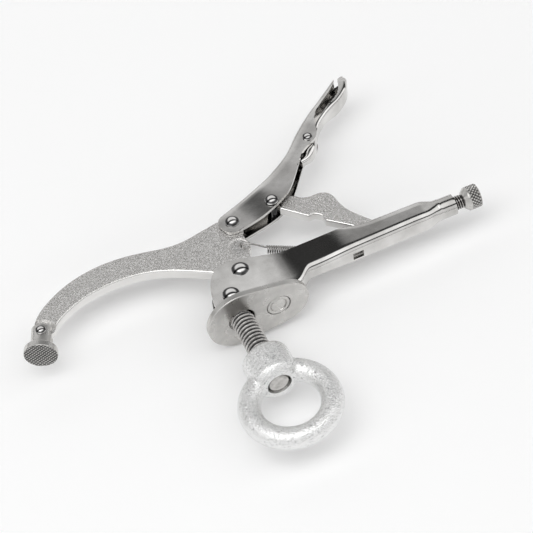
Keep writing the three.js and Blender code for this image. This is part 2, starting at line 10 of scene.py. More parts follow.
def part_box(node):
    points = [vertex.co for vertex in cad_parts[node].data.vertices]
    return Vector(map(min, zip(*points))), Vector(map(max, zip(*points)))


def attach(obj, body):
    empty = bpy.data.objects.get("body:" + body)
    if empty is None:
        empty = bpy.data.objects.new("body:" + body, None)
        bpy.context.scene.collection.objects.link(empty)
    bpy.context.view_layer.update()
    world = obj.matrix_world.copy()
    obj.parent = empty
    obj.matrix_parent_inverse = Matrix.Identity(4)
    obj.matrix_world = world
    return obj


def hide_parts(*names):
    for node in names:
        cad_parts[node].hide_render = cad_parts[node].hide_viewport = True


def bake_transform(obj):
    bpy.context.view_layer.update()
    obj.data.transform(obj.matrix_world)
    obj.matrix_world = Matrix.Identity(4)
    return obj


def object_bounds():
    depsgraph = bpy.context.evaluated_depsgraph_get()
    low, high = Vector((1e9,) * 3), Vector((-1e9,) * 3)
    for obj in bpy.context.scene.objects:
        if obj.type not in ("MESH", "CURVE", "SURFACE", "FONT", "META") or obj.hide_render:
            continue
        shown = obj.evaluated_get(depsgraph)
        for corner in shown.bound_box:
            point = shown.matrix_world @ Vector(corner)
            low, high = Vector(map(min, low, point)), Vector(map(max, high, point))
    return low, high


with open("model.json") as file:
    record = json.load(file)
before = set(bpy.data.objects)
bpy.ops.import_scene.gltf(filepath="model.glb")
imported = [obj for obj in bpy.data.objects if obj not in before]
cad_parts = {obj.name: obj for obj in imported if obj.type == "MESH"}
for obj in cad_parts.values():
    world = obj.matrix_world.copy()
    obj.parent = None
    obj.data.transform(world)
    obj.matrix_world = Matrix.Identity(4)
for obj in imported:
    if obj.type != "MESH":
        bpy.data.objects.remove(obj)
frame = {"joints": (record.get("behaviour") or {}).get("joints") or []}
cad_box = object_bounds()

# Locking hold-down clamp. Shapes are worked out in millimetres in the CAD frame: +X along the
# fixed handle, +Y from the base plate's table face up to the jaw, +Z square to the plane that
# the clamp works in. make() turns them into metres.
MM = 0.001

JOINTS = {j["name"]: np.array(j["pos_m"]) / MM for j in frame["joints"] if "pos_m" in j}
JAW_PIVOT = JOINTS["jaw_pivot"][:2]
HANDLE_PIVOT = JOINTS["handle_fold"][:2]
LINK_PIVOT = JOINTS["link_pivot"][:2]
LEVER_PIVOT = JOINTS["release_pivot"][:2]
PAD_PIVOT = JOINTS["pad_swivel"][:2]
STUD_PIN = JOINTS["stud_swing"][:2]
SCREW_AXIS = JOINTS["knob_turn"][1]

SEAT = 0.15  # the air between a rivet or flange and the sheet it sits on
SHEET = 1.8
JAW_HALF = 3.2
LINK_HALF = 2.6
CHEEK_HALF = 5.3
BODY_HALF = 6.5
FOLD_EDGE = 0.3  # rounding of the cut edges of folded sheet


def cad(node):
    """Lowest and highest corner of a CAD node, in millimetres."""
    low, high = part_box(node)
    return np.array(low) / MM, np.array(high) / MM


# ------------------------------------------------------------------ curves and outlines
def spline(points, per=8):
    """A smooth curve through the points, with per steps between each two."""
    p = np.array(points, float)
    q = np.vstack([p[:1], p, p[-1:]])
    t = np.arange(per)[:, None] / per
    runs = []
    for a, b, c, d in zip(q, q[1:], q[2:], q[3:]):
        cubic = 3 * b - a - 3 * c + d
        square = 2 * a - 5 * b + 4 * c - d
        runs.append(0.5 * (2 * b + (c - a) * t + square * t * t + cubic * t**3))
    return np.vstack(runs + [p[-1:]])


def arc(centre, radius, start, end, steps):
    a = np.linspace(start, end, steps + 1)
    return np.array(centre[:2]) + radius * np.stack([np.cos(a), np.sin(a)], 1)


def circle(centre, radius, steps):
    return arc(centre, radius, 0, 2 * math.pi, steps)[:-1]


SAME_POINT = 0.05


def joined(*runs):
    """Runs of points as one closed outline, without points that fall together."""
    points = []
    for p in np.vstack([np.atleast_2d(r) for r in runs]):
        if not points or np.hypot(*(p - points[-1])) > SAME_POINT:
            points.append(p)
    if np.hypot(*(points[0] - points[-1])) < SAME_POINT:
        points.pop()
    return np.array(points)


def softened(profile, radius):
    """A profile with each inner corner rounded off."""
    p = np.array(profile, float)
    out = [p[:1]]
    t = np.linspace(0, 1, 5)[:, None]
    for a, b, c in zip(p, p[1:], p[2:]):
        before, after = np.hypot(*(a - b)), np.hypot(*(c - b))
        start = b + (a - b) * min(0.45, radius / max(before, 1e-6))
        end = b + (c - b) * min(0.45, radius / max(after, 1e-6))
        out.append((1 - t) ** 2 * start + 2 * t * (1 - t) * b + t * t * end)
    out.append(p[-1:])
    return np.vstack(out)


def mix(a, b, t):
    """The value between a and b at t, which is held from 0 to 1."""
    return a + (b - a) * min(max(t, 0.0), 1.0)


def ease(start, end, value):
    """A smooth step from 0 at start to 1 at end."""
    t = min(max((value - start) / (end - start), 0.0), 1.0)
    return t * t * (3 - 2 * t)


# ------------------------------------------------------------------ meshes
def linked(name, data):
    """A new object for the data, in the scene."""
    obj = bpy.data.objects.new(name, data)
    bpy.context.scene.collection.objects.link(obj)
    return obj


def make(name, verts, faces, merge=1e-4):
    """A closed mesh object from millimetre points."""
    mesh = bpy.data.meshes.new(name)
    mesh.from_pydata((np.array(verts, float) * MM).tolist(), [], [list(f) for f in faces])
    bm = bmesh.new()
    bm.from_mesh(mesh)
    bmesh.ops.remove_doubles(bm, verts=bm.verts, dist=merge * MM)
    bmesh.ops.recalc_face_normals(bm, faces=bm.faces)
    bm.to_mesh(mesh)
    bm.free()
    return linked(name, mesh)


def grid_faces(rows, cols, wrap_rows=False, wrap_cols=False):
    """Faces between rows of cols points each, closed round where asked."""
    faces = []
    for i in range(rows if wrap_rows else rows - 1):
        for j in range(cols if wrap_cols else cols - 1):
            k, n = (i + 1) % rows, (j + 1) % cols
            faces.append((i * cols + j, i * cols + n, k * cols + n, k * cols + j))
    return faces


def apply_modifiers(obj):
    graph = bpy.context.evaluated_depsgraph_get()
    mesh = bpy.data.meshes.new_from_object(obj.evaluated_get(graph))
    obj.modifiers.clear()
    obj.data = mesh


def combine(obj, tool, operation="DIFFERENCE", mend=False):
    """Cuts obj with a tool solid, or joins it on, and removes the tool.

    mend is for an obj whose own faces cross each other.
    """
    m = obj.modifiers.new("combine", "BOOLEAN")
    m.solver, m.operation, m.object = "EXACT", operation, tool
    m.use_self = mend
    apply_modifiers(obj)
    bpy.data.objects.remove(tool)
    return obj


def soften_edges(obj, width):
    """Rounds off each edge that turns by more than 45 degrees."""
    m = obj.modifiers.new("edges", "BEVEL")
    m.width, m.segments, m.limit_method = width * MM, 2, "ANGLE"
    m.angle_limit, m.use_clamp_overlap = math.radians(45), True
    apply_modifiers(obj)
    return obj


def smooth(obj, angle):
    """Smooth shading that keeps edges above the angle sharp."""
    obj.data.shade_smooth()
    obj.data.set_sharp_from_angle(angle=math.radians(angle))
    m = obj.modifiers.new("normals", "WEIGHTED_NORMAL")
    m.keep_sharp = True
    return obj


def flat_fill(bm, loops):
    """Fills a flat region bounded by loops of vertices, the first one outside."""
    edges = []
    for loop in loops:
        for a, b in zip(loop, loop[1:] + loop[:1]):
            edges.append(bm.edges.get((a, b)) or bm.edges.new((a, b)))
    bmesh.ops.triangle_fill(bm, use_beauty=True, edges=edges)


def inset_loop(loop, amount):
    """A loop moved to its left, which is into the material."""
    before, after = loop - np.roll(loop, 1, 0), np.roll(loop, -1, 0) - loop
    sides = []
    for e in (before, after):
        e = e / np.linalg.norm(e, axis=1)[:, None]
        sides.append(np.stack([-e[:, 1], e[:, 0]], 1))
    mean = (sides[0] + sides[1]) / 2
    scale = np.maximum((mean**2).sum(1), 0.35)[:, None]
    return loop + amount * mean / scale


def signed_area(loop):
    following = np.roll(loop, -1, 0)
    return (loop[:, 0] * following[:, 1] - following[:, 0] * loop[:, 1]).sum() / 2


def wall(bm, loop, low, high, rounding, steps):
    """The rounded side of a plate along one loop, as rings of vertices from top to bottom."""
    rings = []
    for sign, level in ((1, high), (-1, low)):
        for k in range(steps + 1):
            a = k / steps * math.pi / 2
            a = a if sign > 0 else math.pi / 2 - a
            ring = inset_loop(loop, rounding * (1 - math.sin(a)))
            z = level - sign * rounding * (1 - math.cos(a))
            rings.append([bm.verts.new((x, y, z)) for x, y in ring])
    n = len(loop)
    for one, two in zip(rings, rings[1:]):
        for j in range(n):
            bm.faces.new((one[j], one[(j + 1) % n], two[(j + 1) % n], two[j]))
    return rings


def slab(name, outline, low, high, rounding, holes=(), steps=4):
    """A plate in XY between two heights, with rounded edges all round."""
    loops = [outline if signed_area(outline) > 0 else outline[::-1]]
    loops += [h if signed_area(h) < 0 else h[::-1] for h in holes]
    bm = bmesh.new()
    tops, bottoms = [], []
    for loop in loops:
        rings = wall(bm, loop, low, high, rounding, steps)
        tops.append(rings[0])
        bottoms.append(rings[-1])
    flat_fill(bm, tops)
    flat_fill(bm, bottoms)
    bmesh.ops.recalc_face_normals(bm, faces=bm.faces)
    bmesh.ops.scale(bm, vec=(MM, MM, MM), verts=bm.verts)
    mesh = bpy.data.meshes.new(name)
    bm.to_mesh(mesh)
    bm.free()
    return linked(name, mesh)


def turned(name, profile, segments):
    """A solid turned about Z from [radius, height] points that start and end on the axis."""
    a = np.linspace(0, 2 * math.pi, segments, endpoint=False)
    p = np.array(profile, float)
    verts = [(r * math.cos(t), r * math.sin(t), h) for r, h in p for t in a]
    return make(name, verts, grid_faces(len(p), segments, wrap_cols=True))


def moved(obj, matrix):
    """The mesh carried through a matrix whose shift is in millimetres."""
    matrix = matrix.copy()
    matrix.translation = matrix.translation * MM
    obj.data.transform(matrix)
    return obj


UP_Y = Matrix.Rotation(-math.pi / 2, 4, "X")  # the turning axis Z becomes +Y
UP_X = Matrix.Rotation(math.pi / 2, 4, "Y")  # the turning axis Z becomes +X


def bar(name, x, y, radius, length):
    """A cutting bar along Z through (x, y)."""
    half = length / 2
    profile = [[0, -half], [radius, -half], [radius, half], [0, half]]
    return moved(turned(name, profile, 64), Matrix.Translation((x, y, 0)))


def block(name, x, y, z):
    """A cutting block between two values along each axis."""
    verts = [(a, b, c) for a in x for b in y for c in z]
    faces = [(0, 1, 3, 2), (4, 6, 7, 5), (0, 4, 5, 1), (2, 3, 7, 6), (0, 2, 6, 4), (1, 5, 7, 3)]
    return make(name, verts, faces)


# ------------------------------------------------------------------ folded channels
def half_section(half, bend, depth, roll, lip, top=None):
    """[z, depth] points from the middle of the web round the bend to the free lip.

    half is half the width at the bend and top at the lip, which leans in by the angle roll.
    """
    top = half if top is None else top
    points = [[0.0, 0.0], [(half - bend) * 0.5, 0.0]]
    for a in np.linspace(0, math.pi / 2, 9):
        points.append([half - bend + bend * math.sin(a), bend - bend * math.cos(a)])
    side = depth - lip * math.sin(roll)
    for t in np.linspace(0.1, 0.9, 6):
        points.append([mix(half, top, t), mix(bend, side, t)])
    for a in np.linspace(0, roll, 7):
        points.append([top - lip + lip * math.cos(a), side + lip * math.sin(a)])
    return np.array(points)


def inner_line(points, sheet):
    """The inner face of a half section, which never crosses the middle plane."""
    before = np.vstack([points[:1], points[:-1]])
    after = np.vstack([points[1:], points[-1:]])
    along = after - before
    along /= np.linalg.norm(along, axis=1)[:, None]
    inner = points + sheet * np.stack([-along[:, 1], along[:, 0]], 1)
    inner[:, 0] = np.maximum(inner[:, 0], 0.004 * np.arange(len(inner)))
    inner[0] = [0, sheet]
    return inner


def lip_to_lip(half):
    """A half section and its mirror image, from one free lip to the other."""
    return np.vstack([(half * [-1, 1])[:0:-1], half])


def channel(name, stations):
    """A folded sheet lofted through stations (x, y, nx, ny, section, sheet)."""
    rings = []
    for x, y, nx, ny, section, sheet in stations:
        outer = half_section(**section)
        inner = inner_line(outer, sheet)
        ring = np.vstack([lip_to_lip(outer), lip_to_lip(inner)[::-1]])
        rings.append([(x + nx * d, y + ny * d, z) for z, d in ring])
    cols = len(rings[0])
    verts = [p for ring in rings for p in ring]
    faces = grid_faces(len(rings), cols, wrap_cols=True)
    last = (len(rings) - 1) * cols
    for k in range(cols // 2 - 1):
        cap = (k, k + 1, cols - 2 - k, cols - 1 - k)
        faces.append(cap)
        faces.append([last + i for i in cap[::-1]])
    return make(name, verts, faces)


def along_curve(web, count, section_at):
    """Stations along a web curve, with the open side on the curve's right."""
    curve = spline(web, 24)
    reach = np.concatenate([[0], np.cumsum(np.linalg.norm(np.diff(curve, axis=0), axis=1))])
    stations = []
    for t in np.linspace(0, 1, count):
        at = t * reach[-1]
        ahead, behind = min(at + 0.4, reach[-1]), max(at - 0.4, 0)
        (x, front_x, back_x), (y, front_y, back_y) = (
            np.interp((at, ahead, behind), reach, curve[:, k]) for k in (0, 1)
        )
        dx, dy = front_x - back_x, front_y - back_y
        n = math.hypot(dx, dy)
        section, sheet = section_at(t)
        stations.append((x, y, dy / n, -dx / n, section, sheet))
    return stations


# ------------------------------------------------------------------ materials
def node_material(name):
    material = bpy.data.materials.new(name)
    material.use_nodes = True
    return material, material.node_tree.nodes, material.node_tree.links


def noise(nodes, links, size, detail=2.0):
    """Noise whose grains are about size millimetres across, in the object's own frame."""
    place = nodes.new("ShaderNodeTexCoord")
    texture = nodes.new("ShaderNodeTexNoise")
    texture.inputs["Scale"].default_value = 1 / (size * MM)
    texture.inputs["Detail"].default_value = detail
    links.new(place.outputs["Object"], texture.inputs["Vector"])
    return texture.outputs["Fac"]


def ramp(nodes, links, value, stops):
    """The value turned into a grey or a colour, through (place, colour) stops."""
    node = nodes.new("ShaderNodeValToRGB")
    elements = node.color_ramp.elements
    while len(elements) < len(stops):
        elements.new(0.5)
    for element, (at, colour) in zip(elements, stops):
        element.position = at
        grey = isinstance(colour, (int, float))
        element.color = (colour,) * 3 + (1,) if grey else (*colour, 1)
    links.new(value, node.inputs["Fac"])
    return node.outputs["Color"]


def bumped(nodes, links, heights, where=None):
    """A chain of bump nodes from (height value, depth in millimetres, strength) rows.

    where is a value that takes the place of the strengths, for relief that fades out.
    """
    normal = None
    for height, depth, strength in heights:
        node = nodes.new("ShaderNodeBump")
        node.inputs["Distance"].default_value = depth * MM
        node.inputs["Strength"].default_value = strength
        if where is not None:
            links.new(where, node.inputs["Strength"])
        links.new(height, node.inputs["Height"])
        if normal is not None:
            links.new(normal, node.inputs["Normal"])
        normal = node.outputs["Normal"]
    return normal


def attribute_value(nodes, name):
    source = nodes.new("ShaderNodeAttribute")
    source.attribute_name = name
    return source.outputs["Fac"]


def attribute_mix(nodes, links, attribute, plain, marked):
    """The plain colour, or the marked one where the mesh attribute is 1."""
    blend = nodes.new("ShaderNodeMix")
    blend.data_type = "RGBA"
    links.new(attribute_value(nodes, attribute), blend.inputs["Factor"])
    links.new(plain, blend.inputs["A"])
    links.new(marked, blend.inputs["B"])
    return blend.outputs["Result"]


def metal(name, dark, light, rough, patch, bumps):
    """Bare or plated metal: colour and roughness drift over patches, with fine relief.

    dark and light are the two ends of the colour, rough those of the roughness, patch the
    patch size in millimetres, and bumps the grain size, depth and strength of each relief.
    A mesh attribute turns the colour near black where it is 1 and leaves it where it is 0 or
    missing: painted shade in thread, knurl and waffle grooves and round rivet heads.
    """
    material, nodes, links = node_material(name)
    shader = nodes["Principled BSDF"]
    shader.inputs["Metallic"].default_value = 1.0
    drift = noise(nodes, links, patch, 4.0)
    clean = ramp(nodes, links, drift, [(0.3, dark), (0.7, light)])
    # Painted shade: the near-black colour that the mesh attribute mixes in.
    painted_shade_colour = ramp(nodes, links, drift, [(0.3, 0.03), (0.7, 0.07)])
    colour = attribute_mix(nodes, links, "painted_shade", clean, painted_shade_colour)
    links.new(colour, shader.inputs["Base Color"])
    gloss = ramp(nodes, links, drift, [(0.3, rough[1]), (0.7, rough[0])])
    links.new(gloss, shader.inputs["Roughness"])
    heights = [(noise(nodes, links, size), depth, strength) for size, depth, strength in bumps]
    links.new(bumped(nodes, links, heights), shader.inputs["Normal"])
    return material


def blasted(name, dark, light, rough, spots, grain=0.85, depth=0.3, edge_rough=None):
    """Blasted or cast skin, speckled from dark to light between the two spots values.

    With an edge_rough, the mesh attribute "worn" is 1 on polished edges and 0 on the skin.
    """
    material, nodes, links = node_material(name)
    shader = nodes["Principled BSDF"]
    shader.inputs["Metallic"].default_value = 1.0
    shader.inputs["Roughness"].default_value = rough
    speck, fine = noise(nodes, links, grain, 3.0), noise(nodes, links, grain / 2.6)
    colour = ramp(nodes, links, speck, [(spots[0], dark), (spots[1], light)])
    skin = None
    if edge_rough is not None:
        wide = noise(nodes, links, grain * 8)
        polished = ramp(nodes, links, wide, [(0.3, [c * 0.96 for c in light]), (0.7, light)])
        colour = attribute_mix(nodes, links, "worn", colour, polished)
        skin = worn_gloss(nodes, links, shader, rough, edge_rough)
    links.new(colour, shader.inputs["Base Color"])
    heights = [(speck, depth, 1.0), (fine, depth * 0.5, 1.0)]
    links.new(bumped(nodes, links, heights, skin), shader.inputs["Normal"])
    return material


def worn_gloss(nodes, links, shader, rough, edge_rough):
    """Makes worn edges glossier, and gives back a value that is 1 on the skin between them."""
    edge = attribute_value(nodes, "worn")
    gloss = nodes.new("ShaderNodeMapRange")
    gloss.inputs["To Min"].default_value = rough
    gloss.inputs["To Max"].default_value = edge_rough
    links.new(edge, gloss.inputs["Value"])
    links.new(gloss.outputs["Result"], shader.inputs["Roughness"])
    skin = nodes.new("ShaderNodeMath")
    skin.operation = "SUBTRACT"
    skin.inputs[0].default_value = 1.0
    links.new(edge, skin.inputs[1])
    return skin.outputs["Value"]


def mark(obj, name, rule):
    """Writes a mesh attribute from rule(position in mm, normal), for each vertex."""
    attribute = obj.data.attributes.new(name, "FLOAT", "POINT")
    values = [rule(v.co / MM, v.normal) for v in obj.data.vertices]
    attribute.data.foreach_set("value", values)


def worn_edges(half):
    """A mark for a plate of that half thickness: its rounded edges are worn, its faces hardly."""
    def rule(point, normal):
        if abs(point.z) < half - 0.01:
            return ease(0.96, 0.80, abs(normal.z))
        return 0.15
    return rule


def from_axis(point):
    """A point's distance from the Z axis, about which turned pieces are made."""
    return math.hypot(point.x, point.y)


MATERIALS = {
    "plated": metal(
        "plated_sheet", (0.50, 0.49, 0.475), (0.78, 0.77, 0.755), rough=(0.06, 0.14), patch=15.0,
        bumps=[(2.6, 0.012, 0.6), (0.5, 0.004, 0.5)],
    ),
    "pearl": blasted(
        "pearl_nickel", (0.60, 0.585, 0.565), (0.80, 0.79, 0.775), rough=0.24,
        spots=(0.36, 0.62), edge_rough=0.06,
    ),
    "cast": blasted(
        "cast_zinc", (0.34, 0.34, 0.34), (0.88, 0.88, 0.875), rough=0.14,
        spots=(0.30, 0.42), grain=0.8,
    ),
    "satin": metal(
        "satin_nickel", (0.52, 0.51, 0.495), (0.64, 0.63, 0.61), rough=(0.24, 0.34), patch=7.0,
        bumps=[(3.0, 0.015, 0.6), (0.45, 0.008, 0.6)],
    ),
    "bright": metal(
        "bright_nickel", (0.78, 0.77, 0.76), (0.88, 0.87, 0.86), rough=(0.05, 0.10), patch=4.0,
        bumps=[(1.6, 0.006, 0.5)],
    ),
    "cut": metal(
        "cut_thread", (0.40, 0.385, 0.37), (0.66, 0.645, 0.63), rough=(0.14, 0.26), patch=2.2,
        bumps=[(0.6, 0.004, 0.4)],
    ),
    "spring": metal(
        "spring_wire", (0.36, 0.35, 0.34), (0.52, 0.51, 0.50), rough=(0.14, 0.22), patch=3.0,
        bumps=[(0.4, 0.004, 0.5)],
    ),
}


def finish(obj, body, node, look, angle=35):
    """Gives a piece its material, smooth shading and body, and hides the CAD node it stands for."""
    obj.data.materials.clear()
    obj.data.materials.append(MATERIALS[look])
    smooth(obj, angle)
    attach(obj, body)
    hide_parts(node)
    return obj


# ------------------------------------------------------------------ fixed handle
WEB_LOW, WEB_HIGH, WEB_END, BODY_TOP = 3.55, 10.6, 12.6, 26.3
NOSE_START, NOSE_END, NOSE_RADIUS, NOSE_BORE = 109.0, cad("fixed_handle")[1][0], 5.4, 4.1
NOSE_BEND = NOSE_RADIUS - 0.2
FLARE, RIB = 1.1, 0.35
TAB_X, TAB_THICK, TAB_TOP, SLOT_END, SLOT_HALF = 55.5, 1.5, 19.0, 63.0, 2.3

# Stations along the handle: closer together where the section changes fast.
FIXED_STATIONS = np.concatenate([
    np.linspace(-21, 20, 24), np.linspace(22, 36, 15), np.linspace(39, 97, 24),
    np.linspace(98, 111, 27), np.linspace(112.4, NOSE_END, 5),
])


def fixed_web(x):
    """Height of the web's outer face, which rises behind the base plate and at the nose."""
    rise = mix(WEB_HIGH, WEB_END, (x - 34) / 60)
    low = mix(WEB_LOW, rise, ease(23, 34, x))
    return mix(low, SCREW_AXIS - NOSE_RADIUS, ease(100, NOSE_START, x))


def fixed_station(x):
    """Cheeks in front, a channel with rolled lips behind, and a closed tube at the nose."""
    behind, rolled = ease(8, 30, x), ease(46, 74, x)
    to_nose = ease(99, NOSE_START, x)
    web = fixed_web(x)
    body_top = mix(mix(36, 30, behind), BODY_TOP, ease(40, 66, x))
    flare = FLARE * ease(12, 30, x) * ease(60, 38, x)
    section = dict(
        half=mix(mix(6.6, BODY_HALF, behind) - flare, NOSE_RADIUS, to_nose),
        top=mix(mix(CHEEK_HALF, BODY_HALF, behind) + 0.3 * flare, NOSE_RADIUS, to_nose),
        bend=mix(mix(2.6, 4, behind), NOSE_BEND, to_nose),
        depth=mix(body_top, SCREW_AXIS + NOSE_RADIUS, to_nose) - web,
        roll=mix(mix(0.1, 1.15, rolled), 1.4, to_nose),
        lip=mix(mix(2, 4.2, rolled), NOSE_BEND, to_nose),
    )
    rib = RIB * math.exp(-(((x - NOSE_START) / 0.7) ** 2))
    section["half"] += rib
    section["top"] += rib
    sheet = mix(SHEET, NOSE_RADIUS - NOSE_BORE, to_nose)
    return (x, web, 0.0, 1.0, section, sheet)


def fixed_outline():
    front = spline([(-20.4, 11), (-18.4, 20), (-14, 29), (-8.5, 33.2), (-3, 34.2), (4, 33)])
    back = spline([(4, 33), (14, 29.8), (24, 26.7), (36, 26.6), (52, 27), (62, 27.2)])
    right = NOSE_END + 5
    ends = [(90, 30), (right, 30), (right, 2), (28, WEB_LOW - 1), (-20.2, WEB_LOW - 1)]
    return joined(front, back, ends)


def trimmed(body, outline, beyond=20, mend=True):
    """Keeps what lies inside an outline seen from the side, with a cutter wider than the body."""
    cutter = slab("outline", outline, -beyond, beyond, rounding=0.01, steps=1)
    return combine(body, cutter, "INTERSECT", mend)


def fixed_handle():
    body = channel("fixed_handle_body", [fixed_station(x) for x in FIXED_STATIONS])
    trimmed(body, fixed_outline())
    combine(body, block("stud_room", (-30, STUD_PIN[0] + 8.4), (0, 8.2), (-4.8, 4.8)))
    tab_end = TAB_X + TAB_THICK
    combine(body, block("slot", (tab_end, SLOT_END), (8, 14), (-SLOT_HALF, SLOT_HALF)))
    combine(body, block("tab", (TAB_X, tab_end), (11.6, TAB_TOP), (-2, 2)), "UNION")
    soften_edges(body, FOLD_EDGE)
    return finish(body, "fixed_handle", "fixed_handle", "plated")


# ------------------------------------------------------------------ base plate
PLATE_THICK, PLATE_EDGE, PLATE_TAIL, PLATE_HOLE = 3.4, 0.55, 14.6, 7.0
RIVET_X, RIVET_FLANGE = 10.1, 6.35


def base_plate():
    """An egg-shaped plate: a big and a small arc with straight sides, and two holes."""
    (x0, _, _), (x1, _, front) = cad("base_plate")
    hole_x, tail_x = x0 + front, x1 - PLATE_TAIL
    lean = math.asin((front - PLATE_TAIL) / (tail_x - hole_x))
    quarter = math.pi / 2
    outline = joined(
        arc((hole_x, 0), front, quarter - lean, 3 * quarter + lean, 72),
        arc((tail_x, 0), PLATE_TAIL, lean - quarter, quarter - lean, 56),
    )
    holes = [circle((hole_x, 0), PLATE_HOLE, 64), circle((RIVET_X, 0), RIVET_FLANGE + SEAT, 64)]
    plate = slab("base_plate_body", outline, 0, PLATE_THICK, PLATE_EDGE, holes)
    moved(plate, UP_Y)
    return finish(plate, "fixed_handle", "base_plate", "satin")


def base_plate_rivet():
    """The plate rivet's sunk flange with a raised middle, and its head inside the channel."""
    web = WEB_LOW + SHEET + SEAT
    ring, centre = RIVET_FLANGE - 2.0, 0.55
    profile = softened([
        [0, centre], [ring - 0.5, centre], [ring, centre + 0.5], [ring + 0.3, 0.3],
        [RIVET_FLANGE - 0.2, 0.3], [RIVET_FLANGE, 1.2], [RIVET_FLANGE, 1.6], [4, 1.7],
        [4, web], [4.3, web], [3.6, web + 1.3], [0, web + 1.8],
    ], 0.25)
    rivet = moved(turned("base_plate_rivet_body", profile, 64), UP_Y)
    moved(rivet, Matrix.Translation((RIVET_X, 0, 0)))
    return finish(rivet, "fixed_handle", "base_plate_rivet", "satin")


# ------------------------------------------------------------------ rivets
PAD_SHANK = 5.7

# Node, body, centre, radius of the shank and of the head, rise of the head, and half the grip.
RIVETS = [
    ("pivot_rivet", "fixed_handle", JAW_PIVOT, 3.4, 4.65, 2.0, CHEEK_HALF),
    ("stud_pin", "fixed_handle", STUD_PIN, 2.8, 4.5, 1.9, 6.6),
    ("pad_rivet", "jaw", PAD_PIVOT, 1.7, 2.7, 1.2, PAD_SHANK),
    ("handle_rivet", "movable_handle", HANDLE_PIVOT, 2.8, 3.7, 1.8, CHEEK_HALF),
    ("link_rivet", "movable_handle", LINK_PIVOT, 2.6, 3.5, 1.5, BODY_HALF),
    ("lever_rivet", "movable_handle", LEVER_PIVOT, 1.6, 2.6, 1.1, BODY_HALF),
]
RIVET_RIM = 0.3


def rivet(node, body, at, shank, head, rise, grip):
    """A rivet through both cheeks with a domed head on each side."""
    seat = grip + SEAT
    crown = rise - RIVET_RIM
    ball = (head * head + crown * crown) / (2 * crown)
    upper = [[shank, seat], [head, seat]]
    for a in np.linspace(math.asin(head / ball), 0, 14):
        upper.append([ball * math.sin(a), seat + RIVET_RIM + crown - ball * (1 - math.cos(a))])
    lower = [[r, -h] for r, h in upper][::-1]
    obj = turned(node + "_dome", lower + upper, 56)
    # Painted shade and painted dark reflection: a near-black ring round each dome, near where the
    # head meets the sheet.
    dark_ring = 0.78 * head
    mark(obj, "painted_shade", lambda p, n: ease(0.3 * head, 0.1 * head, abs(from_axis(p) - dark_ring)))
    moved(obj, Matrix.Translation((at[0], at[1], 0)))
    return finish(obj, body, node, "bright", angle=50)


# ------------------------------------------------------------------ jaw arm and pad
SPRING_HOLE = np.array([8.4, 43.0])
LUG_CENTRE = SPRING_HOLE - (1.4, 0.6)
LUG_RECESS, LUG_SUNK = 4.9, 0.8
JAW_EDGE, TIP_HALF, TIP_PATCH = 1.1, 1.9, 7.6


def jaw_outline():
    """The arm's outline, which goes clockwise from its tip over the top."""
    return joined(
        spline([(-109, 38.5), (-103.4, 47.6), (-94, 54.8), (-81, 60.9), (-66, 64.2), (-52, 64.4),
                (-40, 62.6), (-28, 60), (-18, 59.4), (-8, 61), (3, 63.1)]),
        arc(HANDLE_PIVOT, 6.2, 2.2, -0.75, 20),
        spline([(12.6, 49.4), (12.2, 47.4)]),
        arc(LUG_CENTRE, 6.2, 0.75, -0.9, 12),
        [(8.2, 31.5)],
        arc(JAW_PIVOT, 7.4, 0.6, -3.3, 24),
        spline([(-12.5, 33.2), (-21.8, 39), (-32, 44.6), (-43, 48.4), (-56, 50), (-68, 49.4),
                (-80, 46.8), (-92.2, 41), (-98.6, 35.4)]),
        arc(PAD_PIVOT, 4.4, -0.6, -2.9, 14),
    )


def sink(arm, at, radius, depth, sign):
    """Sinks a round flat-bottomed recess with a sloping rim into one face of the arm."""
    rim = radius + depth
    profile = [[0, -depth], [radius, -depth], [rim, 0.02], [rim, 3], [0, 3]]
    turn = Matrix.Rotation(0 if sign > 0 else math.pi, 4, "X")
    place = Matrix.Translation((*at, sign * JAW_HALF))
    combine(arm, moved(turned("recess", profile, 56), place @ turn))


def jaw_arm():
    hole = circle(SPRING_HOLE, 1.5, 32)
    arm = slab("jaw_arm_body", jaw_outline(), -JAW_HALF, JAW_HALF, JAW_EDGE, [hole], steps=5)
    for sign in (1, -1):
        sink(arm, PAD_PIVOT, TIP_PATCH, JAW_HALF - TIP_HALF, sign)
        sink(arm, LUG_CENTRE, LUG_RECESS, LUG_SUNK, sign)
    mark(arm, "worn", worn_edges(JAW_HALF))
    return finish(arm, "jaw", "jaw_arm", "pearl", angle=40)


PAD_DISC, PAD_THICK, PAD_REACH, PAD_ABOVE, PAD_SLOT = 8.75, 4.4, 12.2, 4.9, 4.1
PAD_LEAN = math.radians(-24.8)
PAD_FACE = PAD_DISC - 0.25
WAFFLE_PITCH, WAFFLE_GROOVE = 1.45, 0.7


def ridges(u, v):
    """Height from 0 in the grooves to 1 on the ridges of two crossed families, one a unit."""
    return min(1 - abs(2 * (w % 1.0) - 1) for w in (u, v))


def waffle_point(radius, angle):
    """A point on the pad's face: small pyramids with grooves along both diagonals."""
    x, z = radius * math.cos(angle), radius * math.sin(angle)
    diagonal = WAFFLE_PITCH * math.sqrt(2)
    height = min(1.0, 1.15 * ridges((x + z) / diagonal, (x - z) / diagonal))
    return x, WAFFLE_GROOVE * (1 - height) - PAD_REACH, z


def pad_side():
    """[radius, height] points from the face's edge round the disc and up the shank."""
    back = PAD_THICK - PAD_REACH
    return softened([
        [PAD_FACE, 0.1 - PAD_REACH], [PAD_DISC, 0.5 - PAD_REACH], [PAD_DISC, back - 0.8],
        [PAD_DISC - 0.8, back], [PAD_SHANK + 0.5, back], [PAD_SHANK, back + 0.5],
        [PAD_SHANK, PAD_ABOVE - 0.8], [PAD_SHANK - 0.8, PAD_ABOVE], [0, PAD_ABOVE],
    ], 0.35)[1:]


def pad_groove_shade(point, normal):
    """Painted shade in the grooves of the face, darkest at their bottoms."""
    on_face = point.y < WAFFLE_GROOVE - PAD_REACH + 0.05 and math.hypot(point.x, point.z) < PAD_FACE
    return 0.95 * ease(0.2, 0.5, point.y + PAD_REACH) if on_face else 0.0


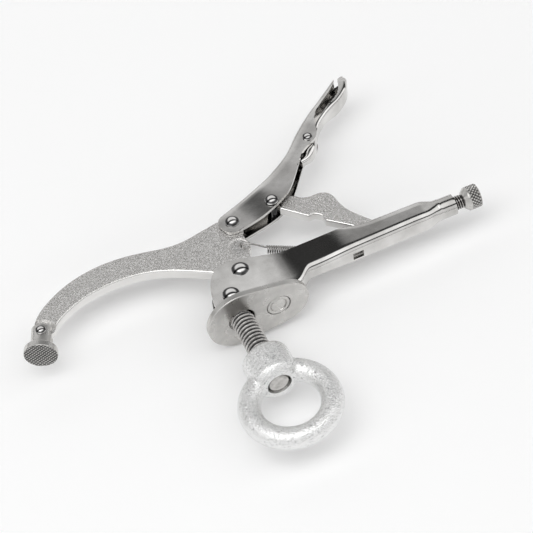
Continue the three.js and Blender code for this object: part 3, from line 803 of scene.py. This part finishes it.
def swivel_pad():
    """A disc with a waffled face on a slotted shank, built about the pivot."""
    rings, segments = 64, 200
    a = np.linspace(0, 2 * math.pi, segments, endpoint=False)
    verts = [waffle_point(r, t) for r in np.linspace(0, PAD_FACE, rings) for t in a]
    side = pad_side()
    verts += [(r * math.cos(t), h, r * math.sin(t)) for r, h in side for t in a]
    pad = make("swivel_pad_body", verts, grid_faces(rings + len(side), segments, wrap_cols=True))
    # Painted shade: the waffle grooves are coloured near black.
    mark(pad, "painted_shade", pad_groove_shade)
    combine(pad, bar("jaw_room", 0, 0, TIP_PATCH - 0.3, PAD_SLOT))
    place = Matrix.Translation((*PAD_PIVOT, 0)) @ Matrix.Rotation(PAD_LEAN, 4, "Z")
    moved(pad, place)
    return finish(pad, "swivel_pad", "swivel_pad", "satin")


# ------------------------------------------------------------------ movable handle
MOVABLE_WEB = [
    (1, 62.6), (12.4, 66.9), (26.8, 72.2), (39.7, 78.2), (52.5, 86.7), (63.8, 97.7),
    (74.2, 106.7), (85.3, 114.6), (96.6, 123),
]
EAR = 7.2


def movable_outline():
    return joined(
        spline([(95.8, 119.2), (90.4, 114.3), (84, 109.6), (79, 105.4), (76.2, 100.6),
                (74.6, 95.2), (73, 91), (70.6, 88.4), (66, 86.2), (61, 82.8), (56.4, 77),
                (50.6, 69.4), (44.7, 62.8), (37, 58), (27, 54.1), (15, 51.3)]),
        arc(HANDLE_PIVOT, EAR, -1.1, -4.25, 32),
        [(11, 69), (24, 74.5), (50, 89), (66, 104), (96, 126), (98, 123.5)],
    )


def movable_section(t):
    """Narrow between the ears at t = 0, and full width from a third of the way on."""
    half = mix(CHEEK_HALF, BODY_HALF, ease(0.12, 0.3, t))
    bend = mix(2.4, 3.4, t * 3)
    return dict(half=half, bend=bend, depth=19, roll=0.02, lip=2), SHEET


def movable_handle():
    body = channel("movable_handle_body", along_curve(MOVABLE_WEB, 72, movable_section))
    trimmed(body, movable_outline())
    combine(body, bar("ear_room", *HANDLE_PIVOT, EAR + 0.3, 2 * JAW_HALF + 0.6))
    soften_edges(body, FOLD_EDGE)
    return finish(body, "movable_handle", "movable_handle", "plated")


# ------------------------------------------------------------------ toggle link
def link_outline(length):
    """In the link's own axes: x from the link pivot to its rear end, y to the bump side."""
    return joined(
        spline([(0, 4.8), (4, 7.6), (8, 9), (13, 9.1), (17, 11), (20.5, 14.2), (24.4, 15.6),
                (28.4, 14.6), (33, 11), (38.8, 7.6), (47, 5.4), (length - 2, 4)]),
        arc((length, 1), 3.4, 1.3, -1.57, 14),
        [(30, -2.5)],
        spline([(30, -2.5), (28.9, -1.4), (27.6, -0.1), (25.5, 0.3), (23, 0.1), (21.8, -1),
                (20.4, -2.1)], 4),
        [(4.7, -1.2)],
        arc((0, 0), 4.8, -0.25, 1.57, 10),
    )


LINK_END = np.array([75.4, 22.1])
LINK_EDGE = 0.8


def toggle_link():
    """The coined link, from the movable handle down to the adjusting screw's tip."""
    reach = LINK_END - LINK_PIVOT
    outline = link_outline(np.hypot(*reach))
    link = slab("toggle_link_body", outline, -LINK_HALF, LINK_HALF, LINK_EDGE, steps=5)
    turn = Matrix.Rotation(math.atan2(reach[1], reach[0]), 4, "Z")
    moved(link, Matrix.Translation((*LINK_PIVOT, 0)) @ turn)
    mark(link, "worn", worn_edges(LINK_HALF))
    return finish(link, "toggle_link", "toggle_link", "pearl", angle=40)


# ------------------------------------------------------------------ release lever
LEVER_WEB = [
    (59.6, 79.8), (65.2, 80.9), (69.6, 85.2), (73.2, 91.6), (77.4, 97.8), (83.6, 102.8),
    (93.6, 107.9), (100.6, 114), (104, 121), (103.4, 124.6),
]
LEVER_SHEET, LEVER_EDGE = 1.4, 0.25


def lever_outline():
    return joined(
        [(58.4, 78), (66, 78), (78, 93), (108, 108), (108, 128), (100.6, 126)],
        spline([(100.6, 126), (96, 114), (90, 109.2), (83, 105), (77, 100.4), (71, 96.4)]),
        arc(LEVER_PIVOT, 4.6, 1.1, 3.6, 14),
        spline([(64.4, 86), (63, 83.2), (58.6, 81.8)]),
    )


def lever_section(t):
    """A flared tail at t = 0, which runs into a strip that narrows to the lever's nose."""
    tail = mix(3.4, 5.4, ease(0, 0.09, t))
    half = mix(mix(tail, 4.2, ease(0.34, 0.5, t)), 2.4, ease(0.8, 1, t))
    return dict(half=half, bend=1.9, depth=11, roll=0.02, lip=1.6), LEVER_SHEET


def release_lever():
    body = channel("release_lever_body", along_curve(LEVER_WEB[::-1], 80, lever_section))
    trimmed(body, lever_outline(), beyond=12, mend=False)
    soften_edges(body, LEVER_EDGE)
    return finish(body, "release_lever", "release_lever", "plated")


# ------------------------------------------------------------------ threads, stud and screw
THREAD_CREST, THREAD_FLANK = 0.12, 0.76  # shares of half a pitch


def tube_faces(rows, cols):
    """Faces of rows of cols points, after an end point 0 and before a last end point."""
    faces = []
    for i in range(rows - 1):
        for j in range(cols):
            k, n = 1 + i * cols, (j + 1) % cols
            faces.append((k + j, k + n, k + cols + n, k + cols + j))
    last = 1 + (rows - 1) * cols
    for j in range(cols):
        n = (j + 1) % cols
        faces.append((0, 1 + n, 1 + j))
        faces.append((last + cols, last + j, last + n))
    return faces


def threaded(name, radius, pitch, deep, low, high, segments, per_turn):
    """A threaded bar along Z: a true helix, with a chamfer at each end."""
    heights = np.arange(low, high + 1e-6, pitch / per_turn)
    a = np.linspace(0, 2 * math.pi, segments, endpoint=False)
    verts = [(0, 0, low)]
    for h in heights:
        fade = ease(low, low + pitch * 0.8, h) * ease(high, high - pitch * 0.8, h)
        chamfer = deep * (1 - fade)
        for t in a:
            phase = (h / pitch - t / (2 * math.pi)) % 1.0
            groove = min(max((abs(2 * phase - 1) - THREAD_CREST) / THREAD_FLANK, 0), 1)
            r = radius - max(deep * groove, chamfer)
            verts.append((r * math.cos(t), r * math.sin(t), h))
    verts.append((0, 0, heights[-1]))
    return make(name, verts, tube_faces(len(heights), segments), merge=1e-5)


def groove_depth(point, radius, shallow, deep, start):
    """1 in a groove round Z above its start, and 0 on its crests and on the end face."""
    depth = radius - from_axis(point)
    return ease(shallow, deep, depth) if point.z > start else 0.0


STUD_RADIUS, STUD_PITCH, STUD_GROOVE, STUD_TOP = 6.2, 2.27, 1.05, 1.4
TANG_HALF, TANG_RADIUS, NECK_HALF, NECK_TOP = 4.3, 5.5, 4.4, 6.0


def swing_stud():
    """The threaded stud with a necked, rounded tang that hangs on the stud pin."""
    end = cad("swing_stud")[0][1]
    size = (STUD_RADIUS, STUD_PITCH, STUD_GROOVE)
    stud = threaded("swing_stud_body", *size, end, STUD_TOP, segments=72, per_turn=12)
    # Painted shade: the thread grooves are coloured near black.
    mark(stud, "painted_shade", lambda p, n: groove_depth(p, STUD_RADIUS, 0.25, 0.75, end + 1))
    moved(stud, Matrix.Translation((STUD_PIN[0], 0, 0)) @ UP_Y)
    spread = math.asin(NECK_HALF / TANG_RADIUS) - math.pi / 2
    x, y = STUD_PIN
    tang = joined(
        [(x + NECK_HALF, 0.2), (x + NECK_HALF, NECK_TOP)],
        arc(STUD_PIN, TANG_RADIUS, spread, math.pi - spread, 32),
        [(x - NECK_HALF, NECK_TOP), (x - NECK_HALF, 0.2)],
    )
    combine(stud, slab("tang", tang, -TANG_HALF, TANG_HALF, rounding=0.5), "UNION")
    return finish(stud, "swing_stud", "swing_stud", "cut", angle=60)


SCREW_RADIUS, SCREW_PITCH, SCREW_GROOVE = 3.8, 1.25, 0.6
SPIGOT_RADIUS, SPIGOT_LENGTH = 2.6, 4


def adjusting_screw():
    """The screw, with a plain spigot that the knob sits on."""
    (x0, _, _), (x1, _, _) = cad("adjusting_screw")
    neck = x1 - SPIGOT_LENGTH
    size = (SCREW_RADIUS, SCREW_PITCH, SCREW_GROOVE)
    screw = threaded("adjusting_screw_body", *size, x0, neck, segments=48, per_turn=8)
    # Painted shade: the thread grooves are coloured near black.
    mark(screw, "painted_shade", lambda p, n: groove_depth(p, SCREW_RADIUS, 0.1, 0.4, x0 + 0.8))
    inside = neck - 1
    profile = [[0, inside], [SPIGOT_RADIUS, inside], [SPIGOT_RADIUS, x1], [0, x1]]
    combine(screw, turned("spigot", profile, 48), "UNION")
    moved(screw, Matrix.Translation((0, SCREW_AXIS, 0)) @ UP_X)
    return finish(screw, "adjusting_screw", "adjusting_screw", "cut", angle=60)


KNOB_BORE, KNOB_CONE, KNOB_GROOVE, KNURL_STARTS = 2.75, 3.2, 0.55, 20
KNOB_ANGLES = np.linspace(0, 2 * math.pi, 240, endpoint=False)


def knurl_rows(start, end, radius):
    """[radius, angle, height] points of a diamond knurl, with plain rims at both ends."""
    heights = np.linspace(start + KNOB_CONE, end - 0.5, 38)
    pitch = 2 * math.pi * radius / KNURL_STARTS
    points = []
    for h in heights:
        fade = ease(heights[0], heights[0] + 0.4, h)
        for t in KNOB_ANGLES:
            u, v = t * KNURL_STARTS / (2 * math.pi), (h - start) / pitch
            depth = KNOB_GROOVE * fade * (1 - min(1.0, 1.6 * ridges(u + v, u - v)))
            points.append((radius - depth, t, h))
    return points


def adjusting_knob():
    """A diamond-knurled knob with a bored, plain cone towards the screw."""
    (start, _, _), (end, _, radius) = cad("adjusting_knob")
    floor_of_bore = start + 4.3
    front = softened([
        [0, floor_of_bore], [KNOB_BORE, floor_of_bore], [KNOB_BORE, start], [4.1, start],
        [radius - 0.9, start + 1.5], [radius, start + 2.4], [radius, start + KNOB_CONE],
    ], 0.4)[:-1]
    back = softened([[radius - 0.25, end - 0.25], [radius - 0.9, end], [0, end]], 0.3)
    points = [(r, t, h) for r, h in front for t in KNOB_ANGLES]
    points += knurl_rows(start, end, radius)
    points += [(r, t, h) for r, h in back for t in KNOB_ANGLES]
    verts = [(r * math.cos(t), r * math.sin(t), h) for r, t, h in points]
    cols = len(KNOB_ANGLES)
    knob = make("adjusting_knob_body", verts, grid_faces(len(verts) // cols, cols, wrap_cols=True))

    # Painted shade: the knurl grooves are coloured near black, more so the deeper they are.
    def knurl_groove_shade(point, normal):
        on_knurl = start + 3.3 < point.z < end - 0.6
        return 0.9 * ease(0.14, 0.4, radius - from_axis(point)) if on_knurl else 0.0

    mark(knob, "painted_shade", knurl_groove_shade)
    moved(knob, Matrix.Translation((0, SCREW_AXIS, 0)) @ UP_X)
    return finish(knob, "adjusting_knob", "adjusting_knob", "satin", angle=50)


# ------------------------------------------------------------------ eye nut
EYE_RING, EYE_SECTION, EYE_COLLAR, EYE_BACK, EYE_BORE = 21.0, 6.0, 12.6, -46.0, 6.5
EYE_YAW = math.radians(-3.7)
EYE_VOXEL, EYE_RELAX = 0.55, 5


def eye_ring(centre):
    """The ring round Z, about a centre on the Y axis."""
    verts = []
    for a in np.linspace(0, 2 * math.pi, 96, endpoint=False):
        for b in np.linspace(0, 2 * math.pi, 40, endpoint=False):
            r = EYE_RING + EYE_SECTION * math.cos(b)
            verts.append((r * math.cos(a), centre + r * math.sin(a), EYE_SECTION * math.sin(b)))
    return make("eye_nut_body", verts, grid_faces(96, 40, True, True))


def run_together(body):
    """Gives joined solids one skin, with the corners between them filled in."""
    m = body.modifiers.new("skin", "REMESH")
    m.mode, m.voxel_size = "VOXEL", EYE_VOXEL * MM
    apply_modifiers(body)
    m = body.modifiers.new("relax", "SMOOTH")
    m.factor, m.iterations = 0.5, EYE_RELAX
    apply_modifiers(body)


def eye_nut():
    """Ring and collar run into one cast body, with a bore for the stud."""
    low, high = cad("eye_nut")
    face = high[1]
    body = eye_ring(low[1] + EYE_RING + EYE_SECTION)
    collar = softened([
        [0, EYE_BACK], [EYE_COLLAR - 2.6, EYE_BACK], [EYE_COLLAR, EYE_BACK + 3],
        [EYE_COLLAR, face - 1.6], [EYE_COLLAR - 1.6, face], [0, face],
    ], 1.2)
    combine(body, moved(turned("collar", collar, 72), UP_Y), "UNION")
    run_together(body)
    bore_end, above = EYE_BACK - 6, face + 1
    bore = [[0, bore_end], [EYE_BORE, bore_end], [EYE_BORE, above], [0, above]]
    combine(body, moved(turned("bore", bore, 64), UP_Y))
    turn = Matrix.Rotation(EYE_YAW, 4, "Y")
    moved(body, Matrix.Translation((STUD_PIN[0], 0, 0)) @ turn)
    return finish(body, "eye_nut", "eye_nut", "cast")


# ------------------------------------------------------------------ springs
WIRE_SIDES = 10


def wire(name, points, radius):
    """A round wire along close points, with flat ends."""
    p = np.array(points, float)
    tangent = np.gradient(p, axis=0)
    tangent /= np.linalg.norm(tangent, axis=1)[:, None]
    normal = np.cross(tangent[0], (0.3, 0.5, 0.8))
    a = np.linspace(0, 2 * math.pi, WIRE_SIDES, endpoint=False)
    verts = []
    for centre, t in zip(p, tangent):
        normal = normal - t * (normal @ t)
        normal /= np.linalg.norm(normal)
        other = np.cross(t, normal)
        verts += [centre + radius * (math.cos(b) * normal + math.sin(b) * other) for b in a]
    faces = grid_faces(len(p), WIRE_SIDES, wrap_cols=True)
    end = range(WIRE_SIDES)
    faces += [list(end)[::-1], [(len(p) - 1) * WIRE_SIDES + k for k in end]]
    return make(name, verts, faces, merge=1e-6)


SPRING_WIRE, SPRING_COIL, SPRING_PITCH = 0.45, 1.85, 1.2
SPRING_LEAD, SPRING_TAIL = 13.0, 4.0
TAB_HOOK = 16.6


def return_spring():
    """A close coil drawn a little open, hooked in the jaw's lug and on the handle's tab."""
    start, end = np.array([*SPRING_HOLE, 0.0]), np.array([TAB_X - 0.4, TAB_HOOK, 0.0])
    along = (end - start) / np.linalg.norm(end - start)
    across = np.array([-along[1], along[0], 0.0])
    up = np.array([0.0, 0.0, 1.0])
    first, last = start + along * SPRING_LEAD, end - along * SPRING_TAIL
    over = up * (JAW_HALF + SPRING_WIRE + 0.3)
    hook = [
        start - up, start + up * 2.4, start + along * 1.4 + over, start + along * 6 + over,
        first - along * 0.8 + up * SPRING_COIL,
    ]
    length = np.linalg.norm(last - first)
    turns = round(length / SPRING_PITCH)
    coil = []
    full = 2 * math.pi * turns
    for a in np.linspace(0, full, turns * 20 + 1):
        around = SPRING_COIL * (math.cos(a) * up + math.sin(a) * across)
        coil.append(first + along * length * a / full + around)
    tail = [last + along * 0.8 + up * SPRING_COIL * 0.6, end - along * 1.2, end]
    path = np.vstack([spline(hook), coil, spline(tail)])
    spring = wire("return_spring_body", path, SPRING_WIRE)
    spring.data.materials.append(MATERIALS["spring"])
    smooth(spring, 60)
    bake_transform(spring)
    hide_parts("return_spring")
    return spring


LEVER_WIRE = 0.33


def lever_spring():
    """A small torsion spring coiled round the lever's rivet."""
    radius, half, turns = 2.2, 1.9, 5
    full = 2 * math.pi * turns
    x, y = LEVER_PIVOT
    path = []
    for a in np.linspace(0, full, turns * 24 + 1):
        path.append((x + radius * math.cos(a), y + radius * math.sin(a), half * (2 * a / full - 1)))
    spring = wire("lever_spring_body", path, LEVER_WIRE)
    return finish(spring, "movable_handle", "lever_spring", "spring", angle=60)


# ------------------------------------------------------------------ floor, light and camera
VIEW_AZIMUTH, VIEW_ELEVATION, VIEW_ROLL = map(math.radians, (-19.08, 50.38, -6.54))
VIEW_CENTRE = Vector((10.98, 14.88, 14.61)) * MM
VIEW_WIDTH = 269.3 * MM
VIEW_DISTANCE = 2.0


def view_axes():
    """The picture's right and up, and the way back to the camera."""
    ca, sa = math.cos(VIEW_AZIMUTH), math.sin(VIEW_AZIMUTH)
    ce, se = math.cos(VIEW_ELEVATION), math.sin(VIEW_ELEVATION)
    back = Vector((sa * ce, -ca * ce, se))
    level = Vector((ca, sa, 0))
    right = level * math.cos(VIEW_ROLL) + back.cross(level) * math.sin(VIEW_ROLL)
    return right, back.cross(right), back


def camera():
    data = bpy.data.cameras.new("camera")
    data.sensor_width = 36
    data.lens = data.sensor_width * VIEW_DISTANCE / VIEW_WIDTH
    data.clip_start, data.clip_end = 0.1, 20
    obj = linked("camera", data)
    right, up, back = view_axes()
    turn = Matrix((right, up, back)).transposed().to_4x4()
    obj.matrix_world = Matrix.Translation(VIEW_CENTRE + back * VIEW_DISTANCE) @ turn
    bpy.context.scene.camera = obj


def floor():
    """A pale floor half a millimetre below the clamp, brightened a little against grey."""
    size, level = 0.55, cad_box[0].z - 0.0005
    mesh = bpy.data.meshes.new("floor")
    corners = [(-size, -size), (size, -size), (size, size), (-size, size)]
    mesh.from_pydata([(x, y, level) for x, y in corners], [], [(0, 1, 2, 3)])
    obj = linked("floor", mesh)
    material, nodes, links = node_material("floor")
    shader = nodes["Principled BSDF"]
    shader.inputs["Roughness"].default_value = 0.9
    shader.inputs["Specular IOR Level"].default_value = 0.1
    tone = ramp(nodes, links, noise(nodes, links, 400), [(0.3, 0.90), (0.7, 0.92)])
    links.new(tone, shader.inputs["Base Color"])
    links.new(tone, shader.inputs["Emission Color"])
    shader.inputs["Emission Strength"].default_value = 0.12
    mesh.materials.append(material)


# The studio's brightness round the long axis of the clamp: degrees from level in front, over the
# top (90), to level behind (180). Broad softboxes stand between narrow dark gaps.
STUDIO = [
    (-180, 0.04), (-2, 0.04), (3, 0.85), (38, 1.0), (43, 0.06), (54, 0.03), (60, 1.25),
    (104, 1.2), (109, 0.05), (124, 0.03), (131, 0.74), (172, 0.8), (180, 0.04),
]


def studio():
    """Lights the world from the STUDIO bands, by the angle round the X axis."""
    world = bpy.data.worlds.new("studio")
    world.use_nodes = True
    nodes, links = world.node_tree.nodes, world.node_tree.links
    place = nodes.new("ShaderNodeTexCoord")
    parts = nodes.new("ShaderNodeSeparateXYZ")
    links.new(place.outputs["Generated"], parts.inputs["Vector"])
    front = nodes.new("ShaderNodeMath")
    front.operation = "MULTIPLY"
    front.inputs[1].default_value = -1.0
    links.new(parts.outputs["Y"], front.inputs[0])
    angle = nodes.new("ShaderNodeMath")
    angle.operation = "ARCTAN2"
    links.new(parts.outputs["Z"], angle.inputs[0])
    links.new(front.outputs["Value"], angle.inputs[1])
    spread = nodes.new("ShaderNodeMapRange")
    spread.inputs["From Min"].default_value = -math.pi
    spread.inputs["From Max"].default_value = math.pi
    links.new(angle.outputs["Value"], spread.inputs["Value"])
    peak = max(value for _, value in STUDIO)
    stops = [(degrees / 360 + 0.5, value / peak) for degrees, value in STUDIO]
    light = ramp(nodes, links, spread.outputs["Result"], stops)
    background = nodes["Background"]
    background.inputs["Strength"].default_value = peak
    links.new(light, background.inputs["Color"])
    bpy.context.scene.world = world


def softbox(name, place, size, power):
    """A round area light that looks at the origin."""
    data = bpy.data.lights.new(name, "AREA")
    data.shape, data.size, data.energy = "DISK", size, power
    obj = linked(name, data)
    way = (-Vector(place)).to_track_quat("-Z", "Y")
    obj.location, obj.rotation_mode, obj.rotation_quaternion = place, "QUATERNION", way


camera()
floor()
studio()
softbox("key", place=(-0.5, -0.2, 1.3), size=1.2, power=4)
bpy.context.scene.view_settings.view_transform = "Standard"

fixed_handle()
base_plate()
base_plate_rivet()
jaw_arm()
swivel_pad()
movable_handle()
toggle_link()
release_lever()
swing_stud()
adjusting_screw()
adjusting_knob()
eye_nut()
return_spring()
lever_spring()
for row in RIVETS:
    rivet(*row)

bpy.context.view_layer.update()
